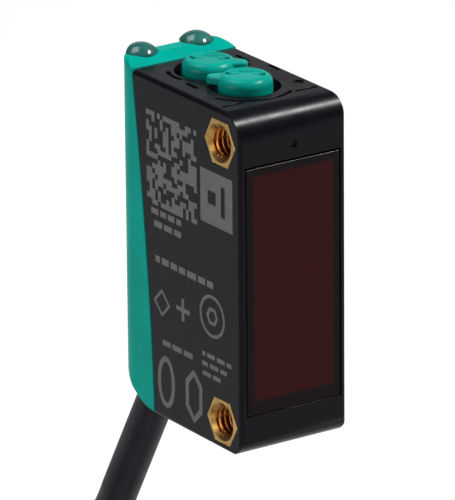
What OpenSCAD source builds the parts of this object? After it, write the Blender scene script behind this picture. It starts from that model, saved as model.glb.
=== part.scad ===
// Miniature photoelectric sensor: a slim plastic block with a tinted light window in front, two
// adjusters and two indicator domes on top, a threaded bush through each end of its front edge,
// and a short cable that ends in a round M8 plug.
// Millimetres, +Z up. Light leaves and enters along -Y, and X runs across the width.
// The origin lies halfway between the two mounting threads, in the middle of the width.
// Heights below are measured from the underside, depths from the front face.

/* [Body] */
// Width across the two side faces
body_w = 11; // [10.9:0.1:11.4]
// Height of the black front housing
body_h = 31; // [30.9:0.1:31.3]
// Depth from the window to the back of the cover
body_d = 20; // [19.9:0.1:20.6]
// Thickness of the moulded walls
wall = 0.8; // [0.7:0.05:0.85]
// Radius of the upper front edge
top_front_r = 2.5; // [2.2:0.1:2.6]
// Radius of the lower front edge
bottom_front_r = 1.9; // [1.6:0.1:2]
// Radius of the lower rear edge, where the cable leaves
bottom_rear_r = 7.2; // [7:0.1:7.4]
// Radius of the two upright rear corners
rear_corner_r = 3.1; // [2.8:0.1:3.2]
// Radius on the edges of the side faces
edge_r = 0.4; // [0.3:0.05:0.5]
// How far the cover's top stands above the housing's
cover_rise = 0.6; // [0.5:0.05:0.7]
// Depth of the joint between housing and cover at the underside
split_low = 13.6; // [13.4:0.1:13.8]
// Depth of the same joint at the top
split_high = 16.5; // [16.4:0.1:16.7]

/* [Mounting bushes] */
// Distance between the two threads
hole_pitch = 25.4; // [25.3:0.1:25.5]
// Depth of the threads behind the front face
hole_setback = 3.05; // [3:0.05:3.1]
// Height of the lower thread above the underside
hole_rise = 2.6; // [2.55:0.05:2.65]
// Core radius of the M3 thread
thread_r = 1.25; // [1.23:0.01:1.27]
// Bush size across the hexagon's corners
bush_corners = 4.7; // [4.5:0.1:4.8]

/* [Window] */
// Width of the tinted pane
pane_w = 9.7; // [9.6:0.05:9.7]
// Height of the pane's lower edge
pane_low = 3.8; // [3.75:0.05:3.9]
// Height of the pane's upper edge
pane_high = 26.2; // [26.1:0.05:26.25]
// Thickness of the pane
pane_t = 0.98; // [0.9:0.02:1]

/* [Adjusters] */
// Radius of the two adjuster heads
knob_r = 2.4; // [2.3:0.05:2.45]
// How far the heads stand above the top face
knob_proud = 1.1; // [0.9:0.05:1.1]
// Depth of the sensitivity adjuster's axis
sensitivity_depth = 7.2; // [7.2:0.05:7.3]
// Depth of the light/dark selector's axis
mode_depth = 12.7; // [12.65:0.05:12.7]
// Where the sensitivity pointer aims, counter-clockwise from +X
sensitivity_aim = 140; // [136:1:144]
// Where the selector's pointer aims, counter-clockwise from +X
mode_aim = -40; // [-44:1:-36]

/* [Cable and plug] */
// Diameter of the round cable
cable_d = 3.5; // [3.3:0.1:3.5]
// Angle of the cable's exit from straight down, towards the back
cable_lean = 30; // [29:1:31]
// Radius of the plug's knurled screw ring
nut_r = 5; // [4.9:0.05:5]
// Outside radius of the M8 thread
plug_thread_r = 4; // [3.95:0.05:4]

/* [Hidden] */
$fn = 48;
facet_n = 12;
half_w = body_w / 2;
front_y = -hole_setback;
bottom_z = -(hole_rise + hole_pitch / 2);
seam = 0.15;
groove_w = 0.34;
groove_depth = 0.2;
nip = 0.05;
floor_t = 0.9;
ledge_front = 1.15;
cavity_front = 1.75;
lip_t = 0.5;
lip_gap = 0.1;
cover_slope = 1.3;
boss_r = 2.7;

// Pane seat and the opening behind it
seat_gap = 0.1;
aperture_w = 8.6;
aperture_low = 4.5;
aperture_high = 25.6;

// Two light channels, one above the other
carrier_w = 9;
carrier_low = 5.75;
carrier_high = 24.85;
carrier_front = 1.8;
carrier_back = 9;
channel_wall = 0.43;
lens_seat = 8.9;
emitter_h = carrier_low + channel_wall + lens_seat / 2;
receiver_h = carrier_high - channel_wall - lens_seat / 2;

// Circuit boards
board_t = 0.8;
main_front = 10.2;
main_back = main_front + board_t;
main_low = 1.6;
main_high = 24.9;
control_low = 25.2;
control_high = control_low + board_t;

// Adjuster wells, bores and shafts
well_r = 3.1;
well_depth = 0.7;
well_h = body_h - well_depth;
seal_pocket_r = 2.15;
seal_pocket_h = well_h - 0.65;
seal_ring_r = 1.57;
seal_wire_r = 0.3;
knob_boss_r = 3.3;
knob_boss_low = 28.9;
shaft_r = 1.2;
shaft_fit = 0.05;
pointer_r = 3.35;
pointer_root_r = 1.5;
pointer_tip_r = 0.6;
rotor_r = 1;
rotor_low = 27.5;
rotor_high = 28.6;

// Indicator domes
dome_x = 2.9;
dome_depth = 19.1;
dome_r = 1.5;
dome_rise = 0.75;
dome_seat = 0.95;
neck_hole_r = 1.05;
cover_edge_r = 0.9;
guide_x = 2.45;
guide_depth = 18.1;

// Depth inside the exit of the boss and of the place where the sheath ends
boss_len = 3.2;
core_exit = 8;

// Cable exit, and the route of the stretches that are not coiled
exit_at = [0, 15.7, -12.3];
cable_r = cable_d / 2;
grommet_r = 2.25;
drop_route = [
    [0, 15.7, -12.3], [0, 17.2, -14.9], [0, 18.7, -17.5], [0, 20.2, -20.1], [0, 21.7, -22.7],
    [0, 23.2, -25.3], [0, 24.7, -27.9], [0, 26.2, -30.5], [-0.6, 27.8, -33.1], [-2, 29.3, -35.7],
    [-4, 30.8, -38.2], [-6.6, 32.1, -40.5], [-9.6, 33, -42.4], [-12.8, 33.6, -43.7],
    [-16, 33.9, -44.2]
];
drop_side = [0, cos(cable_lean), sin(cable_lean)];
tail_route = [
    [-33.2, 30, -44.2], [-35.2, 27.3, -44.1], [-37, 24.4, -43.7], [-38.5, 21.3, -43.1],
    [-39.7, 18.1, -42.5], [-40.6, 15.2, -42], [-41.3, 12.4, -41.6], [-41.5, 10.2, -41.5],
    [-41.5, 8, -41.5]
];
coil_centre = [-16, 16.5];
coil_r_in = 15.6;
coil_r_out = 23.4;
coil_t = 3.6;
coil_low = -46;
tie_angle = 118;
plug_at = [-41.5, 8, -41.5];
core_r = 0.45;
core_spread = 0.7;

// ---- Colours ----
black_plastic = [0.12, 0.12, 0.13];
teal_plastic = [0.02, 0.58, 0.52];
board_green = [0.05, 0.3, 0.16];
gold = [0.83, 0.66, 0.3];
rubber_black = [0.08, 0.08, 0.09];
cable_grey = [0.15, 0.15, 0.17];

// ---- Helpers ----
function fy(depth) = front_y + depth;
function bz(height) = bottom_z + height;
function arc(centre, r, from, to, steps = facet_n) =
    [for (i = [0:steps]) let (a = from + (to - from) * i / steps) centre + r * [cos(a), sin(a)]];
function split_depth(height) =
    split_low + (split_high - split_low) * pow(max(height, 0) / body_h, 1.5);
function unit(v) = v / norm(v);

// Block between two depths and two heights, centred across the width
module slab(width, depths, heights) {
    translate([-width / 2, fy(depths[0]), bz(heights[0])])
        cube([width, depths[1] - depths[0], heights[1] - heights[0]]);
}

// Outlines seen from the side extruded across the width
module across(width) {
    rotate([90, 0, 90]) linear_extrude(width, center = true) children();
}

// Outline of the whole body from above, drawn in by inset
function plan_outline(inset) =
    let (
        x = half_w - inset,
        front = fy(inset),
        back = fy(body_d - inset),
        rf = max(edge_r - inset, nip),
        rb = rear_corner_r - inset
    )
    concat(
        arc([-x + rf, front + rf], rf, 180, 270, 4),
        arc([x - rf, front + rf], rf, 270, 360, 4),
        arc([x - rb, back - rb], rb, 0, 90),
        arc([-x + rb, back - rb], rb, 90, 180)
    );

// Outline from the side
function side_outline(inset, rise, top_r) =
    let (
        front = fy(inset),
        back = fy(body_d - inset),
        low = bz(inset),
        high = bz(body_h + rise - inset),
        rbf = bottom_front_r - inset,
        rbb = bottom_rear_r - inset,
        rtf = top_front_r - inset,
        rtb = max(top_r - inset, nip)
    )
    concat(
        arc([front + rbf, low + rbf], rbf, 180, 270),
        arc([back - rbb, low + rbb], rbb, 270, 360),
        arc([back - rtb, high - rtb], rtb, 0, 90, 4),
        arc([front + rtf, high - rtf], rtf, 90, 180)
    );

// Outline from the front
function front_outline(inset, rise, top_r) =
    let (
        x = half_w - inset,
        low = bz(inset),
        high = bz(body_h + rise - inset),
        r = max(edge_r - inset, nip),
        rt = max(top_r - inset, nip)
    )
    concat(
        arc([-x + r, low + r], r, 180, 270, 4),
        arc([x - r, low + r], r, 270, 360, 4),
        arc([x - rt, high - rt], rt, 0, 90, 4),
        arc([-x + rt, high - rt], rt, 90, 180, 4)
    );

// The body's outer form, rounded on every edge
module envelope(inset = 0, rise = 0, top_r = edge_r) {
    intersection() {
        translate([0, 0, bz(-1)]) linear_extrude(body_h + 3) polygon(plan_outline(inset));
        across(body_w + 2) polygon(side_outline(inset, rise, top_r));
        translate([0, fy(body_d + 1), 0]) rotate([90, 0, 0])
            linear_extrude(body_d + 2) polygon(front_outline(inset, rise, top_r));
    }
}

// Everything in front of the joint between housing and cover, moved back by shift
module ahead_of_split(shift = 0) {
    steps = 16;
    heights = [for (i = [0:steps]) -1 + (body_h + 3) * i / steps];
    across(body_w + 2) polygon(concat(
        [[fy(-1), bz(-1)]],
        [for (h = heights) [fy(split_depth(h) + shift), bz(h)]],
        [[fy(-1), bz(body_h + 2)]]
    ));
}

// Hexagonal prism through the width, corners towards front and back
module bush_prism(height, grow = 0, width = body_w) {
    translate([-width / 2, fy(hole_setback), bz(height)]) rotate([90, 0, 90])
        cylinder(r = bush_corners / 2 + grow, h = width, $fn = 6);
}

// Round bar between two points
module rod(a, b, r) {
    v = b - a;
    translate(a) rotate([0, acos(v.z / norm(v)), atan2(v.y, v.x)]) cylinder(r = r, h = norm(v));
}

// Upright cylinder at a depth, between two heights
module post(r, x, depth, heights) {
    translate([x, fy(depth), bz(heights[0])]) cylinder(r = r, h = heights[1] - heights[0]);
}

// Places its children with +Z along the cable as it leaves
module at_exit() {
    translate(exit_at) rotate([180 + cable_lean, 0, 0]) children();
}

// Round tube swept through the route's points; side is square to the whole route
module swept_tube(route, r, side, sides = 8) {
    last = len(route) - 1;
    tangents = [for (i = [0:last]) unit(route[min(i + 1, last)] - route[max(i - 1, 0)])];
    points = [
        for (i = [0:last])
            let (u = unit(cross(cross(tangents[i], side), tangents[i])), v = cross(tangents[i], u))
            for (j = [0:sides - 1])
                route[i] + r * (cos(360 * j / sides) * u + sin(360 * j / sides) * v)
    ];
    walls = [
        for (i = [0:last - 1], j = [0:sides - 1])
            let (a = i * sides + j, b = i * sides + (j + 1) % sides)
            each [[a, b + sides, b], [a, a + sides, b + sides]]
    ];
    caps = [
        [for (j = [0:sides - 1]) j],
        [for (j = [sides - 1:-1:0]) last * sides + j]
    ];
    polyhedron(points, concat(walls, caps));
}

// ---- Housing ----
module groove_arc(depth, r, from, to) {
    translate([0, fy(depth), bz(body_h - groove_depth)]) rotate([0, 0, from])
        rotate_extrude(angle = to - from) translate([r - groove_w / 2, 0])
            square([groove_w, 1]);
}

// Engraved marks around the adjusters: a scale arc, minus, plus and two selector arcs
module engraved_marks() {
    groove_arc(sensitivity_depth, 4.2, 198, 306);
    groove_arc(mode_depth, 3.65, 152, 195);
    groove_arc(mode_depth, 3.65, -15, 28);
    for (bar = [
        [-4.9, 3.3, 2.2, 0], [2.7, 3.3, 2.2, 0], [3.9, 5.4, 1.1, 0], [4.6, 4.95, 1.1, 90],
        [-3.6, 8.9, 1.8, 90], [5.1, 9.2, 1.6, 90], [4.3, 12.8, 2, 90]
    ])
        translate([bar[0], fy(bar[1]), bz(body_h - groove_depth)]) rotate([0, 0, bar[3]])
            cube([bar[2], groove_w, 1]);
}

// Shaft bore, seal pocket and open well of one adjuster
module adjuster_cut(depth) {
    post(shaft_r + shaft_fit, 0, depth, [knob_boss_low - 1, body_h]);
    post(seal_pocket_r, 0, depth, [seal_pocket_h, body_h]);
    post(well_r, 0, depth, [well_h, body_h + 1]);
}

module front_housing() {
    rail_w = 0.6;
    color(black_plastic) difference() {
        intersection() {
            envelope();
            ahead_of_split();
            union() {
                difference() {
                    slab(body_w + 2, [-1, body_d], [-1, body_h + 1]);
                    slab(body_w - 2 * wall, [cavity_front, body_d + 1], [floor_t, body_h - floor_t]);
                }
                for (h = [hole_rise, hole_rise + hole_pitch])
                    translate([-half_w, fy(hole_setback), bz(h)]) rotate([0, 90, 0])
                        cylinder(r = boss_r, h = body_w);
                for (d = [sensitivity_depth, mode_depth])
                    post(knob_boss_r, 0, d, [knob_boss_low, body_h - 0.5]);
                for (side = [-1, 1], d = [main_front - 0.6, main_back + 0.1])
                    translate([side * (half_w - wall), fy(d + 0.25), bz(12.6)])
                        cube([2 * rail_w, 0.5, 18], center = true);
            }
        }
        slab(pane_w + 2 * seat_gap, [-1, ledge_front], [pane_low - nip, pane_high + 0.2]);
        slab(aperture_w, [0, cavity_front + 0.01], [aperture_low, aperture_high]);
        for (h = [hole_rise, hole_rise + hole_pitch]) bush_prism(h, 0.01, body_w + 2);
        for (d = [sensitivity_depth, mode_depth]) adjuster_cut(d);
        engraved_marks();
        translate([0, fy(-1), bz(27.7)]) rotate([-90, 0, 0]) cylinder(r = 0.4, h = 1.2);
    }
}

// Band that follows the body's outline inside the joint, open at the top
module locating_lip(inset, from) {
    intersection() {
        difference() {
            envelope(inset = inset);
            envelope(inset = wall + lip_gap + lip_t);
            ahead_of_split(from);
            slab(body_w, [0, body_d], [27.5, body_h + 1]);
        }
        ahead_of_split(1);
    }
}

module rear_cover() {
    lip_reach = 1;
    base = body_h + cover_rise;
    color(teal_plastic) difference() {
        union() {
            difference() {
                envelope(rise = cover_rise, top_r = cover_edge_r);
                ahead_of_split(seam);
                envelope(inset = wall);
            }
            locating_lip(wall + lip_gap, -lip_reach);
            locating_lip(wall - nip, seam);
            intersection() {
                envelope();
                at_exit() translate([0, 0, -boss_len]) cylinder(r = grommet_r + 0.8, h = boss_len + 1);
            }
        }
        across(body_w + 2) polygon([
            [fy(split_low), bz(body_h + 0.05)],
            [fy(split_high + seam), bz(body_h + 0.05)],
            [fy(split_high + seam + cover_slope), bz(body_h + cover_rise)],
            [fy(split_high + seam + cover_slope), bz(body_h + 2)],
            [fy(split_low), bz(body_h + 2)]
        ]);
        at_exit() translate([0, 0, -core_exit]) cylinder(r = grommet_r, h = 12);
        for (side = [-1, 1]) {
            post(neck_hole_r, side * guide_x, guide_depth, [28, base - dome_seat + nip]);
            post(dome_r + 0.02, side * dome_x, dome_depth, [base - dome_seat, base + 1]);
        }
    }
}

// ---- Window and optics ----
module window_pane() {
    color([0.3, 0.02, 0.03, 0.8]) slab(pane_w, [0.02, 0.02 + pane_t], [pane_low, pane_high]);
}

module window_gasket() {
    color(rubber_black) difference() {
        slab(pane_w, [0.02 + pane_t, ledge_front], [pane_low, pane_high]);
        slab(aperture_w, [0, 2], [aperture_low, aperture_high]);
    }
}

// Square-cut flange with a round bulge on its inner side
module lens(height) {
    ball_r = 7;
    bulge_r = 3.8;
    flange_t = 0.8;
    back = carrier_front + 0.1 + flange_t;
    color([0.85, 0.9, 0.95, 0.5]) union() {
        slab(7.8, [back - flange_t, back], [height - 4.4, height + 4.4]);
        intersection() {
            translate([0, fy(back - sqrt(ball_r * ball_r - bulge_r * bulge_r)), bz(height)])
                sphere(r = ball_r);
            translate([0, fy(back - nip), bz(height)]) rotate([-90, 0, 0])
                cylinder(r = bulge_r, h = 3);
        }
    }
}

module emitter_lens() {
    lens(emitter_h);
}

module receiver_lens() {
    lens(receiver_h);
}

module optics_carrier() {
    channel_end = 7.6;
    color(black_plastic) difference() {
        slab(carrier_w, [carrier_front, carrier_back], [carrier_low, carrier_high]);
        for (hole = [[emitter_h, 1.2], [receiver_h, 1.6]]) {
            h = hole[0];
            slab(7.9, [0, carrier_front + 0.95], [h - lens_seat / 2, h + lens_seat / 2]);
            slab(7.2, [0, channel_end], [h - 4.1, h + 4.1]);
            translate([0, fy(channel_end - 1), bz(h)]) rotate([-90, 0, 0])
                cylinder(r = hole[1], h = 4);
        }
    }
}

// ---- Boards and what they carry ----
module main_board() {
    color(board_green) slab(carrier_w, [main_front, main_back], [main_low, main_high]);
}

module control_board() {
    color(board_green) union() {
        slab(8, [5.6, 17], [control_low, control_high]);
        slab(6.4, [16.9, 18.9], [control_low, control_high]);
    }
}

module emitter_led() {
    color([0.9, 0.9, 0.85]) union() {
        slab(2, [main_front - 0.6, main_front], [emitter_h - 1, emitter_h + 1]);
        intersection() {
            slab(2, [main_front - 2, main_front - 0.5], [emitter_h - 1, emitter_h + 1]);
            translate([0, fy(main_front - 0.6), bz(emitter_h)]) sphere(r = 0.8);
        }
    }
}

module photodiode() {
    color([0.1, 0.1, 0.12]) difference() {
        slab(3, [main_front - 1, main_front], [receiver_h - 1.5, receiver_h + 1.5]);
        slab(1.8, [main_front - 2, main_front - 0.85], [receiver_h - 0.9, receiver_h + 0.9]);
    }
}

module shield_can() {
    skin = 0.2;
    color([0.75, 0.76, 0.78]) difference() {
        slab(7, [main_back, main_back + 1.6], [17, 23]);
        slab(7 - 2 * skin, [main_back - 1, main_back + 1.6 - skin], [17 + skin, 23 - skin]);
    }
}

module controller_chip() {
    color([0.07, 0.07, 0.08]) difference() {
        slab(5, [main_back, main_back + 0.9], [3.6, 8.6]);
        translate([-1.8, fy(main_back + 0.8), bz(7.9)]) rotate([-90, 0, 0])
            cylinder(r = 0.3, h = 1);
    }
}

module output_driver() {
    color([0.07, 0.07, 0.08]) translate([2.2, 0, 0]) union() {
        slab(2.9, [main_back, main_back + 1], [9.3, 10.6]);
        for (x = [-0.95, 0.95]) translate([x, 0, 0])
            slab(0.4, [main_back, main_back + 0.3], [8.8, 11.1]);
    }
}

// Small chip resistors and capacitors in a row on each board
module smd_parts() {
    color([0.6, 0.5, 0.38]) {
        for (x = [-3.6, -2, -0.4], h = [2.6])
            translate([x, 0, 0]) slab(0.8, [main_back, main_back + 0.5], [h - 0.5, h + 0.5]);
        for (x = [2.4, 3.6])
            translate([x, 0, 0]) slab(0.8, [main_back, main_back + 0.5], [2, 3.4]);
        for (d = [9.3, 15.6], side = [-1, 1])
            translate([side * 3.2, 0, 0]) slab(0.8, [d, d + 1], [control_high, control_high + 0.5]);
    }
}

header_x = [-2.54, -1.27, 0, 1.27, 2.54];

module board_header() {
    color([0.09, 0.09, 0.1]) difference() {
        slab(6.4, [main_back, main_back + 1.4], [23.2, 24.4]);
        for (x = header_x) post(0.24, x, main_back + 0.7, [23, 25]);
    }
}

module header_pins() {
    color(gold) for (x = header_x) post(0.23, x, main_back + 0.7, [23.3, control_low]);
}

// ---- Adjusters ----
// Square body of a rotary part on the upper board, with a round pocket for its rotor
module rotary_base(depth, size) {
    difference() {
        slab(size, [depth - size / 2, depth + size / 2], [control_high, 27.8]);
        post(rotor_r + 0.08, 0, depth, [rotor_low - nip, 29]);
    }
}

// Slotted disc that the adjuster's blade turns
module rotor(depth, aim) {
    difference() {
        post(rotor_r, 0, depth, [rotor_low, rotor_high]);
        translate([0, fy(depth), bz(28.05)]) rotate([0, 0, aim])
            translate([-2, -0.25, 0]) cube([4, 0.5, 2]);
    }
}

// Adjuster head with rounded rim, cross recess, pointer, shaft and driving blade
module adjuster(depth, aim) {
    rim_r = 0.8;
    dish = 0.15;
    high = body_h + knob_proud;
    low = well_h + 0.1;
    recess = 0.6;
    translate([0, fy(depth), 0]) rotate([0, 0, aim]) difference() {
        union() {
            translate([0, 0, bz(low)]) rotate_extrude() polygon(concat(
                [[0, 0], [knob_r, 0]],
                arc([knob_r - rim_r, high - low - rim_r], rim_r, 0, 90, 6),
                [[0, high - low]]
            ));
            translate([0, 0, bz(28.75)]) cylinder(r = shaft_r, h = low - 28.7);
            translate([-0.95, -0.2, bz(28.15)]) cube([1.9, 0.4, 0.7]);
            translate([0, 0, bz(body_h + 0.25)]) linear_extrude(0.65) hull() {
                circle(r = pointer_root_r);
                translate([pointer_r - pointer_tip_r, 0]) circle(r = pointer_tip_r);
            }
        }
        translate([0, 0, bz(high - dish)]) cylinder(r = 1.55, h = 1);
        translate([-1.75, -0.3, bz(high - recess)]) cube([3.5, 0.6, 1]);
        translate([-0.6, -1, bz(high - recess)]) cube([1.2, 2, 1]);
    }
}

module seal_ring(depth) {
    translate([0, fy(depth), bz(seal_pocket_h + seal_wire_r + 0.02)])
        rotate_extrude() translate([seal_ring_r, 0]) circle(r = seal_wire_r);
}

module sensitivity_trimmer() {
    color([0.1, 0.1, 0.1]) rotary_base(sensitivity_depth, 2.6);
}

module sensitivity_rotor() {
    color([0.9, 0.9, 0.86]) rotor(sensitivity_depth, sensitivity_aim);
}

module sensitivity_knob() {
    color(teal_plastic) adjuster(sensitivity_depth, sensitivity_aim);
}

module sensitivity_seal() {
    color(rubber_black) seal_ring(sensitivity_depth);
}

module mode_switch() {
    color([0.1, 0.1, 0.1]) rotary_base(mode_depth, 3.6);
}

module mode_rotor() {
    color([0.9, 0.9, 0.86]) rotor(mode_depth, mode_aim);
}

module mode_knob() {
    color(teal_plastic) adjuster(mode_depth, mode_aim);
}

module mode_seal() {
    color(rubber_black) seal_ring(mode_depth);
}

// ---- Indicators ----
module chip_led(x) {
    union() {
        translate([x, 0, 0])
            slab(1.6, [guide_depth - 0.4, guide_depth + 0.4], [control_high, control_high + 0.4]);
        translate([x, 0, 0])
            slab(1, [guide_depth - 0.35, guide_depth + 0.35], [control_high + 0.3, control_high + 0.7]);
    }
}

// Dome on the cover's top, with a neck through the wall and a foot over its lamp
module light_guide(side) {
    ball_r = (dome_r * dome_r + dome_rise * dome_rise) / (2 * dome_rise);
    base = body_h + cover_rise;
    union() {
        intersection() {
            union() {
                intersection() {
                    translate([side * dome_x, fy(dome_depth), bz(base + dome_rise - ball_r)])
                        sphere(r = ball_r);
                    slab(body_w, [dome_depth - 2, dome_depth + 2], [base, base + 3]);
                }
                post(dome_r, side * dome_x, dome_depth, [base - dome_seat, base + 0.01]);
            }
            envelope(rise = 2);
        }
        post(neck_hole_r - 0.01, side * guide_x, guide_depth, [30, base - dome_seat + 0.02]);
        post(0.9, side * guide_x, guide_depth, [27, 30.1]);
    }
}

module power_led() {
    color([0.3, 0.9, 0.4]) chip_led(-guide_x);
}

module signal_led() {
    color([0.95, 0.8, 0.3]) chip_led(guide_x);
}

module power_light_guide() {
    color([0.55, 0.7, 0.68, 0.6]) light_guide(-1);
}

module signal_light_guide() {
    color([0.55, 0.7, 0.68, 0.6]) light_guide(1);
}

// ---- Bushes ----
module bush(height) {
    chamfer = 0.4;
    difference() {
        bush_prism(height);
        translate([-half_w - 1, fy(hole_setback), bz(height)]) rotate([0, 90, 0])
            cylinder(r = thread_r, h = body_w + 2);
        for (side = [0, 180])
            translate([0, fy(hole_setback), bz(height)]) rotate([0, 90, side])
                translate([0, 0, half_w - chamfer])
                    cylinder(r1 = thread_r, r2 = thread_r + 1.25 * chamfer, h = chamfer + 0.001);
    }
}

module upper_bush() {
    color([0.78, 0.6, 0.3]) bush(hole_rise + hole_pitch);
}

module lower_bush() {
    color([0.78, 0.6, 0.3]) bush(hole_rise);
}

// ---- Cable ----
module cable_grommet() {
    color(rubber_black) difference() {
        union() {
            intersection() {
                envelope();
                at_exit() translate([0, 0, -boss_len - 0.2]) cylinder(r = grommet_r, h = 7);
            }
            intersection() {
                envelope(inset = wall + seat_gap);
                at_exit() translate([0, 0, -boss_len - 1]) cylinder(r = grommet_r + 0.6, h = 0.95);
            }
        }
        at_exit() translate([0, 0, -core_exit]) cylinder(r = cable_r, h = 12);
    }
}

module cable_clamp() {
    color([0.7, 0.7, 0.72]) at_exit() translate([0, 0, -6.4]) difference() {
        cylinder(r = cable_r + 0.4, h = 0.9);
        translate([0, 0, -1]) cylinder(r = cable_r, h = 3);
    }
}

module cable_end() {
    color(cable_grey) at_exit() translate([0, 0, -core_exit]) cylinder(r = cable_r, h = core_exit);
}

// One conductor from the cable's end to its pad on the main board
module core(column, row) {
    start = exit_at + [
        column * core_spread,
        -core_exit * sin(cable_lean) + row * core_spread * cos(cable_lean),
        core_exit * cos(cable_lean) + row * core_spread * sin(cable_lean)
    ];
    bend = start + 0.9 * [0, -sin(cable_lean), cos(cable_lean)];
    pad = [column * 2.2, fy(main_back), bz(13.1 + row * 0.9)];
    union() {
        rod(start, bend, core_r);
        translate(bend) sphere(r = core_r + 0.02);
        rod(bend, pad, core_r);
    }
}

module core_brown() {
    color([0.35, 0.18, 0.08]) core(-1, -1);
}

module core_white() {
    color([0.9, 0.9, 0.88]) core(1, -1);
}

module core_blue() {
    color([0.08, 0.2, 0.6]) core(-1, 1);
}

module core_black() {
    color([0.05, 0.05, 0.05]) core(1, 1);
}

module cable_drop() {
    color(cable_grey) swept_tube(drop_route, cable_r, drop_side);
}

module cable_tail() {
    color(cable_grey) swept_tube(tail_route, cable_r, [0, 0, 1]);
}

module cable_coil() {
    color(cable_grey) translate([coil_centre.x, coil_centre.y, coil_low]) rotate_extrude()
        translate([coil_r_in, 0]) square([coil_r_out - coil_r_in, coil_t]);
}

module cable_tie() {
    band = 0.4;
    tie_w = 2.5;
    color([0.1, 0.1, 0.1]) translate([coil_centre.x, coil_centre.y, coil_low - band - nip])
        rotate([0, 0, tie_angle]) difference() {
            translate([coil_r_in - band - 0.3, -tie_w / 2, 0])
                cube([coil_r_out - coil_r_in + 2 * band + 0.6, tie_w, coil_t + 2 * band + 2 * nip]);
            translate([coil_r_in - 0.3, -tie_w, band])
                cube([coil_r_out - coil_r_in + 0.6, 2 * tie_w, coil_t + 2 * nip]);
        }
}

// ---- Plug: its length runs from the cable towards -Y ----
relief_len = 11;
grip_r = 4.4;
grip_end = 24;
neck_r = 3.05;
nut_low = 24.3;
knurl_end = 32;
nut_end = 37;
carrier_floor = 32.5;

module at_plug() {
    translate(plug_at) rotate([90, 0, 0]) children();
}

module plug_body() {
    color(rubber_black) at_plug() difference() {
        rotate_extrude() polygon([
            [0, 0], [2.5, 0], [2.7, 2.5], [2.4, 2.5], [2.5, 3.3], [2.9, 3.3], [3.1, 5.8], [2.8, 5.8],
            [2.9, 6.6], [3.3, 6.6], [3.5, 9.1], [3.2, 9.1], [3.3, 9.9], [3.6, relief_len],
            [grip_r, 12.5], [grip_r, grip_end - 0.5], [grip_r - 0.5, grip_end],
            [neck_r, grip_end], [neck_r, 28], [0, 28]
        ]);
        for (a = [0:30:330]) rotate([0, 0, a]) translate([grip_r + 0.15, 0, 13.5])
            cylinder(r = 0.5, h = 8.5);
    }
}

module plug_contact_carrier() {
    color([0.1, 0.1, 0.11]) at_plug() difference() {
        translate([0, 0, 28]) cylinder(r = neck_r, h = nut_end - 28);
        translate([0, 0, carrier_floor]) cylinder(r = neck_r - 0.35, h = 6);
        plug_pin_posts(0.5, 28.5);
    }
}

// Four contact posts in the carrier
module plug_pin_posts(r, from) {
    for (p = [[1.5, 0.9], [-1.5, 0.9], [0.9, -1.2], [-0.9, -1.2]])
        translate([p[0], p[1], from]) cylinder(r = r, h = 36.3 - from);
}

module plug_pins() {
    color(gold) at_plug() plug_pin_posts(0.49, 28.6);
}

module plug_seal() {
    color([0.1, 0.1, 0.1]) at_plug() translate([0, 0, knurl_end + 0.45])
        rotate_extrude() translate([plug_thread_r + 0.1, 0]) circle(r = 0.44);
}

module coupling_nut() {
    knurls = 24;
    color([0.75, 0.74, 0.7]) at_plug() difference() {
        rotate_extrude() polygon([
            [neck_r + 0.06, nut_low], [nut_r - 0.3, nut_low], [nut_r, nut_low + 0.3],
            [nut_r, knurl_end - 0.3], [nut_r - 0.3, knurl_end], [plug_thread_r - 0.35, knurl_end],
            [plug_thread_r - 0.35, knurl_end + 1], [plug_thread_r, knurl_end + 1],
            [plug_thread_r, nut_end - 0.4], [plug_thread_r - 0.4, nut_end],
            [neck_r + 0.06, nut_end]
        ]);
        for (i = [0:knurls - 1]) rotate([0, 0, 360 * i / knurls])
            translate([nut_r + 0.25, 0, nut_low + 1]) cylinder(r = 0.45, h = knurl_end - nut_low - 2);
    }
}

front_housing();
rear_cover();
window_pane();
window_gasket();
emitter_lens();
receiver_lens();
optics_carrier();
main_board();
emitter_led();
photodiode();
shield_can();
controller_chip();
output_driver();
smd_parts();
board_header();
header_pins();
control_board();
sensitivity_trimmer();
sensitivity_rotor();
sensitivity_knob();
sensitivity_seal();
mode_switch();
mode_rotor();
mode_knob();
mode_seal();
power_led();
signal_led();
power_light_guide();
signal_light_guide();
upper_bush();
lower_bush();
cable_grommet();
cable_clamp();
cable_end();
core_brown();
core_white();
core_blue();
core_black();
cable_drop();
cable_coil();
cable_tail();
cable_tie();
plug_body();
plug_contact_carrier();
plug_pins();
plug_seal();
coupling_nut();
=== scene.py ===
"""Looks of the miniature photoelectric sensor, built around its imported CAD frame."""
import math
import random

import bmesh
import bpy
from mathutils import Matrix, Vector


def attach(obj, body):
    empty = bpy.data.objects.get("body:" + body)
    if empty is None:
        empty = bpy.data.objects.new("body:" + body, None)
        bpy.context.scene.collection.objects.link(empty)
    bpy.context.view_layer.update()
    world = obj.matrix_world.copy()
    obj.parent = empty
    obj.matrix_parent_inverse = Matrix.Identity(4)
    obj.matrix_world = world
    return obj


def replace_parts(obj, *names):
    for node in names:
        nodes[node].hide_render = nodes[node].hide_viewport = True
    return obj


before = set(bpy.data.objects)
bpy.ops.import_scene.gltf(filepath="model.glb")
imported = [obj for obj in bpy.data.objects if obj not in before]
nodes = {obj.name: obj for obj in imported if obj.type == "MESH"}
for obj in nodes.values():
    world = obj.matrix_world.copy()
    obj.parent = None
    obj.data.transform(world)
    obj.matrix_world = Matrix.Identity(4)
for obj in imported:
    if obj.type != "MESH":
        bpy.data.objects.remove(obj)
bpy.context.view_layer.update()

MM = 0.001
for packed in list(bpy.data.materials):
    packed.name = "packed_" + packed.name

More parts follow.
